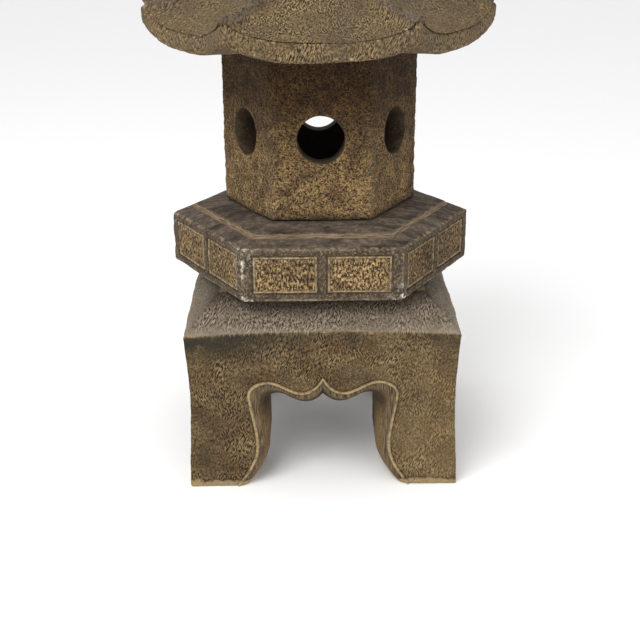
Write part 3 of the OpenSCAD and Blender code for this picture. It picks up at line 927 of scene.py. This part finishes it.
def panelled_stone(c):
    """The same sandstone, rubbed smooth and dusty on its margins and top, with upright pecks in its panels"""
    material, tree = plain("panelled_sandstone")
    surface, space, _, frame_mask, sunk, riser, line, edge = places(
        tree, "frame", "sunk", "riser", "line", "edge")

    # margins and top
    rubbed = over(tree, c.smooth, c.smooth_light, mottle(tree, space, 9, 0.42, 0.66, 0.68, 4.0, 0.65))
    rubbed = over(tree, rubbed, c.soot_and_shade, strokes(tree, space, (60, 22), 0.43, 0.64, 0, 4.0, 0.6), 0.8)
    rubbed = over(tree, rubbed, c.smooth_light, strokes(tree, space, (30, 8), 0.54, 0.7, 0, 4.0, 0.65), 0.5)
    rubbed = over(tree, rubbed, c.pit_and_shade, frame_mask, 0.6)
    ground = over(tree, rubbed, c.line, mottle(tree, space, 3.4, 0.5, 0.66, 0.45, 3.0, 0.7), frame_mask)

    # panels, browner in patches, with painted shade on the two side panels, deeper on the right
    pattern = strokes(tree, surface, (3.2, 6.5), 0.42, 0.54, 0, 4.0, 0.7)
    body = over(tree, c.grain, c.base_warm, mottle(tree, space, 12, 0.42, 0.6, 0.7, 3.0))
    body = over(tree, body, c.chip, mottle(tree, space, 2.8, 0.56, 0.68, 0.45))
    picked = over(tree, c.pit_and_shade, body, pattern)
    picked = over(tree, picked, c.pit_and_shade, mottle(tree, space, 26, 0.48, 0.7, 0.5, 3.0))
    # painted shade: the side panels are darkened, the right one more, as if lit from the left
    for place, share in (((230, -135, 370), 0.55), ((-230, -135, 370), 0.3)):
        picked = over(tree, picked, c.pit_and_shade, round_patch(tree, space, place, 150), share)
    ground = over(tree, ground, picked, sunk)

    # the rusty step, worn lines and chipped arrises
    rust = over(tree, c.pit_and_shade, c.groove, strokes(tree, surface, (30, 2), 0.34, 0.58, 0, 4.0, 0.7))
    ground = over(tree, ground, rust, riser)
    ground = over(tree, ground, c.line, line, mottle(tree, space, 7, 0.34, 0.6, 0.85, 3.0))
    ground = over(tree, ground, c.line, edge, mottle(tree, space, 7, 0.45, 0.62, 0.5, 3.0))
    near = 0.0
    for corner, reach in KNOCKS:
        near = add(tree, "Math", round_patch(tree, space, corner, reach), near, operation="MAXIMUM")
    broken = add(tree, "Math", edge, 0.25, operation="ADD", use_clamp=True)
    ground = over(tree, ground, c.chip, near, broken, mottle(tree, space, 8, 0.5, 0.6, 1.0, 4.0, 0.72))

    pecks = add(tree, "Math", pattern, sunk, operation="MULTIPLY")
    height = add(tree, "Math", pecks, mottle(tree, space, 2.5, 0.0, 1.0, 0.4), operation="ADD")
    dressed(tree, ground, height, 1.6, 0.85)
    return material


def picked_stone(c):
    """Sandstone dressed with a pick all over: gold grain between dark pits, with painted shade under the
    eaves
    """
    material, tree = plain("picked_sandstone")
    _, space, z, face, edge, reveal, inside = places(tree, "face", "edge", "reveal", "inside")
    pattern = add(tree, "Mix", 0.35, mottle(tree, space, 2.8, 0.44, 0.6, 1.0, 1.5, 0.6),
                  mottle(tree, space, 5.5, 0.44, 0.6, 1.0, 3.0, 0.6))

    proud = over(tree, c.grain, c.base_warm, mottle(tree, space, 30, 0.4, 0.65))
    picked = over(tree, c.pit_and_shade, proud, pattern)
    picked = over(tree, picked, c.line, mottle(tree, space, 3.2, 0.56, 0.68, 0.55, 2.0, 0.6))
    picked = over(tree, picked, c.pit_and_shade, mottle(tree, space, 26, 0.5, 0.7, 0.4, 3.0))
    picked = over(tree, picked, c.smooth_light, edge, 0.22)

    # painted shade: darker towards the top under the roof's overhang, and darker at the foot where it sits on
    # the platform
    # painted shade: the upper part is multiplied darker, standing in for the roof's shadow
    picked = over(tree, picked, c.roof_shade, add(tree, "MapRange", z, 0.5, 0.65), mode="MULTIPLY")
    # painted shade: a ragged dark band at the foot, where the fire box sits on the platform
    ragged = mottle(tree, space, 14, 0.0, 1.0, 0.02, 3.0)
    ragged = add(tree, "Math", z, ragged, operation="SUBTRACT")
    picked = over(tree, picked, c.soot_and_shade, add(tree, "MapRange", ragged, 0.456, 0.441), 0.7)

    smoked = over(tree, c.moss, c.smooth_light, mottle(tree, space, 20, 0.35, 0.65, 0.45, 3.0))
    ground = over(tree, picked, smoked, reveal)
    walls = over(tree, c.soot_and_shade, c.pit_and_shade, mottle(tree, space, 9, 0.4, 0.65, 1.0, 3.0))
    ground = over(tree, ground, walls, inside)

    pecks = add(tree, "Math", pattern, face, operation="MULTIPLY")
    height = add(tree, "Math", pecks, mottle(tree, space, 2, 0.0, 1.0, 0.3), operation="ADD")
    dressed(tree, ground, height, 1.5, 0.88)
    return material


def roof_stone(c):
    """Sandstone that stands in the rain: chiselled slopes, rubbed ridges and a chipped eave"""
    material, tree = plain("roof_sandstone")
    surface, space, _, ridge, edge, bed = places(tree, "ridge", "edge", "bed")
    pattern = chisel_pattern(tree, surface, space)
    rubbed = over(tree, c.base_dark, c.smooth_light, mottle(tree, space, 4, 0.3, 0.7, 1.0, 3.0))
    ground = over(tree, c.base_dark, c.base_light, pattern)
    ground = over(tree, ground, c.smooth, mottle(tree, space, 80, 0.35, 0.7, 0.5, 3.0))
    ground = over(tree, ground, rubbed, ridge)
    ground = over(tree, ground, rubbed, bed)
    ground = over(tree, ground, c.line, edge, mottle(tree, space, 11, 0.6, 0.68, 1.0, 3.0))
    height = add(tree, "Math", pattern, mottle(tree, space, 2.5, 0.0, 1.0, 0.5), operation="ADD")
    dressed(tree, ground, height, 1.3, 0.88)
    return material


def finial_stone(c):
    """Rubbed sandstone with fine grain and weather stains"""
    material, tree = plain("rubbed_sandstone")
    space = add(tree, "TexCoord", out="Object")
    ground = over(tree, c.base_dark, c.base_light, mottle(tree, space, 3.5, 0.35, 0.65, 1.0, 3.0))
    ground = over(tree, ground, c.smooth, mottle(tree, space, 40, 0.4, 0.65, 0.6, 3.0))
    dressed(tree, ground, mottle(tree, space, 2.5, 0.0, 1.0, 1.0, 3.0), 1.0, 0.85)
    return material


def glazed_stoneware(c):
    """Stoneware under a brown iron glaze, dipped and fired: glossy, with a paler rim where it ran thin"""
    material, tree = plain("iron_glazed_stoneware")
    shader = tree.nodes["Principled BSDF"]
    space = add(tree, "TexCoord", out="Object")
    z = add(tree, "SeparateXYZ", space, out="Z")
    body = over(tree, c.glaze, c.base_warm, mottle(tree, space, 9, 0.4, 0.65, 1.0, 3.0))
    body = over(tree, body, c.groove, add(tree, "MapRange", z, DISH_HIGH.z - 0.004, DISH_HIGH.z - 0.0005))
    tree.links.new(body, shader.inputs["Base Color"])
    shader.inputs["Roughness"].default_value = 0.22
    shader.inputs["Coat Weight"].default_value = 0.4
    return material


# ---------------------------------------------------------------- operators

class LanternOperator:
    """What the operators share: the sizes and colours of the scene"""
    bl_options = {"REGISTER", "UNDO"}

    def parts(self, context):
        return context.scene.lantern_sizes, context.scene.lantern_colours


def dress(piece, material):
    """Gives a piece its material"""
    piece.data.materials.append(material)


class LANTERN_OT_base(LanternOperator, bpy.types.Operator):
    """Carve the square base with its four legs"""
    bl_idname = "lantern.base"
    bl_label = "Base"

    def execute(self, context):
        sizes, colours = self.parts(context)
        piece = base_skin(sizes).finish("base", base_relief, ground=BASE_LOW.z)
        dress(piece, chiselled_stone(colours))
        return {"FINISHED"}


class LANTERN_OT_platform(LanternOperator, bpy.types.Operator):
    """Carve the six-sided platform with its sunk panels"""
    bl_idname = "lantern.platform"
    bl_label = "Platform"

    def execute(self, context):
        sizes, colours = self.parts(context)
        piece = platform_skin(sizes).finish("platform", platform_relief)
        dress(piece, panelled_stone(colours))
        return {"FINISHED"}


class LANTERN_OT_fire_box(LanternOperator, bpy.types.Operator):
    """Carve the fire box with its six round windows"""
    bl_idname = "lantern.fire_box"
    bl_label = "Fire box"

    def execute(self, context):
        sizes, colours = self.parts(context)
        piece = firebox_skin(sizes).finish("fire_box", firebox_relief, 50)
        dress(piece, picked_stone(colours))
        return {"FINISHED"}


class LANTERN_OT_lamp_dish(LanternOperator, bpy.types.Operator):
    """Turn the glazed dish that holds the light"""
    bl_idname = "lantern.lamp_dish"
    bl_label = "Lamp dish"

    def execute(self, context):
        piece = shown(dish_form(), "lamp_dish_glazed", "lamp_dish", 60)
        dress(piece, glazed_stoneware(self.parts(context)[1]))
        return {"FINISHED"}


class LANTERN_OT_roof(LanternOperator, bpy.types.Operator):
    """Carve the curved roof with its hip ridges"""
    bl_idname = "lantern.roof"
    bl_label = "Roof"

    def execute(self, context):
        sizes, colours = self.parts(context)
        piece = roof_skin(sizes).finish("roof", roof_relief)
        dress(piece, roof_stone(colours))
        return {"FINISHED"}


class LANTERN_OT_finial(LanternOperator, bpy.types.Operator):
    """Turn the bud that crowns the roof"""
    bl_idname = "lantern.finial"
    bl_label = "Finial"

    def execute(self, context):
        piece = shown(finial_form(), "finial_stone", "finial", 45)
        dress(piece, finial_stone(self.parts(context)[1]))
        return {"FINISHED"}


LIT = (0, 0, 0.45)  # what the lights face (m)
LENS = 65.2  # focal length (mm)
CAMERA_PLACE = (-0.0289, -1.9953, 1.0019)  # m
CAMERA_TURN = (21.47, -0.79, -0.33)  # pitch down, yaw to the left, roll (degrees)


def area_light(name, place, target, size, power):
    """A square soft box that faces a target"""
    data = bpy.data.lights.new(name, "AREA")
    data.size = size
    data.energy = power
    light = bpy.data.objects.new(name, data)
    light.location = place
    light.rotation_euler = (Vector(target) - Vector(place)).to_track_quat("-Z", "Y").to_euler()
    bpy.context.scene.collection.objects.link(light)


class LANTERN_OT_stage(LanternOperator, bpy.types.Operator):
    """Set the pale floor, the soft studio light and the camera"""
    bl_idname = "lantern.stage"
    bl_label = "Stage"

    def execute(self, context):
        colours = self.parts(context)[1]
        scene = context.scene
        scene.view_settings.view_transform = "Standard"
        bm = bmesh.new()
        bmesh.ops.create_grid(bm, x_segments=2, y_segments=2, size=30)
        mesh = bpy.data.meshes.new("studio_floor")
        bm.to_mesh(mesh)
        bm.free()
        floor = bpy.data.objects.new("studio_floor", mesh)
        scene.collection.objects.link(floor)
        paper, tree = plain("matt_paper")
        shader = tree.nodes["Principled BSDF"]
        shader.inputs["Base Color"].default_value = (*colours.floor, 1)
        shader.inputs["Roughness"].default_value = 0.9
        mesh.materials.append(paper)

        world = bpy.data.worlds.new("studio")
        world.use_nodes = True
        world.node_tree.nodes["Background"].inputs["Color"].default_value = (1, 1, 1, 1)
        world.node_tree.nodes["Background"].inputs["Strength"].default_value = 0.85
        scene.world = world
        area_light("key_light", (-1.4, -2.4, 3.2), LIT, 2.2, 100)
        area_light("fill_light", (2.2, -2.8, 1.6), LIT, 2.5, 15)

        data = bpy.data.cameras.new("camera")
        data.lens = LENS
        camera = bpy.data.objects.new("camera", data)
        pitch, yaw, roll = (math.radians(angle) for angle in CAMERA_TURN)
        camera.matrix_world = (Matrix.Translation(CAMERA_PLACE) @ Matrix.Rotation(yaw, 4, "Z")
                               @ Matrix.Rotation(math.pi / 2 - pitch, 4, "X") @ Matrix.Rotation(roll, 4, "Z"))
        scene.collection.objects.link(camera)
        scene.camera = camera
        return {"FINISHED"}


class LANTERN_PT_panel(bpy.types.Panel):
    """Lists the lantern's stones, sizes and colours"""
    bl_idname = "LANTERN_PT_panel"
    bl_label = "Stone garden lantern"
    bl_space_type = "VIEW_3D"
    bl_region_type = "UI"
    bl_category = "Lantern"

    def draw(self, context):
        layout = self.layout
        for operator in STEPS:
            layout.operator(operator.bl_idname)
        for group in (context.scene.lantern_sizes, context.scene.lantern_colours):
            for name in group.__annotations__:
                layout.prop(group, name)


STEPS = (LANTERN_OT_stage, LANTERN_OT_base, LANTERN_OT_platform, LANTERN_OT_fire_box, LANTERN_OT_lamp_dish,
         LANTERN_OT_roof, LANTERN_OT_finial)
CLASSES = (LanternSizes, LanternColours) + STEPS + (LANTERN_PT_panel,)


def register():
    """Makes the classes and the scene's settings known"""
    for cls in CLASSES:
        bpy.utils.register_class(cls)
    bpy.types.Scene.lantern_sizes = bpy.props.PointerProperty(type=LanternSizes)
    bpy.types.Scene.lantern_colours = bpy.props.PointerProperty(type=LanternColours)


def unregister():
    """Takes them away again"""
    del bpy.types.Scene.lantern_colours
    del bpy.types.Scene.lantern_sizes
    for cls in reversed(CLASSES):
        bpy.utils.unregister_class(cls)


def main():
    """Builds the stage and every stone"""
    register()
    for step in STEPS:
        group, name = step.bl_idname.split(".")
        getattr(getattr(bpy.ops, group), name)()


if __name__ == "__main__":
    main()
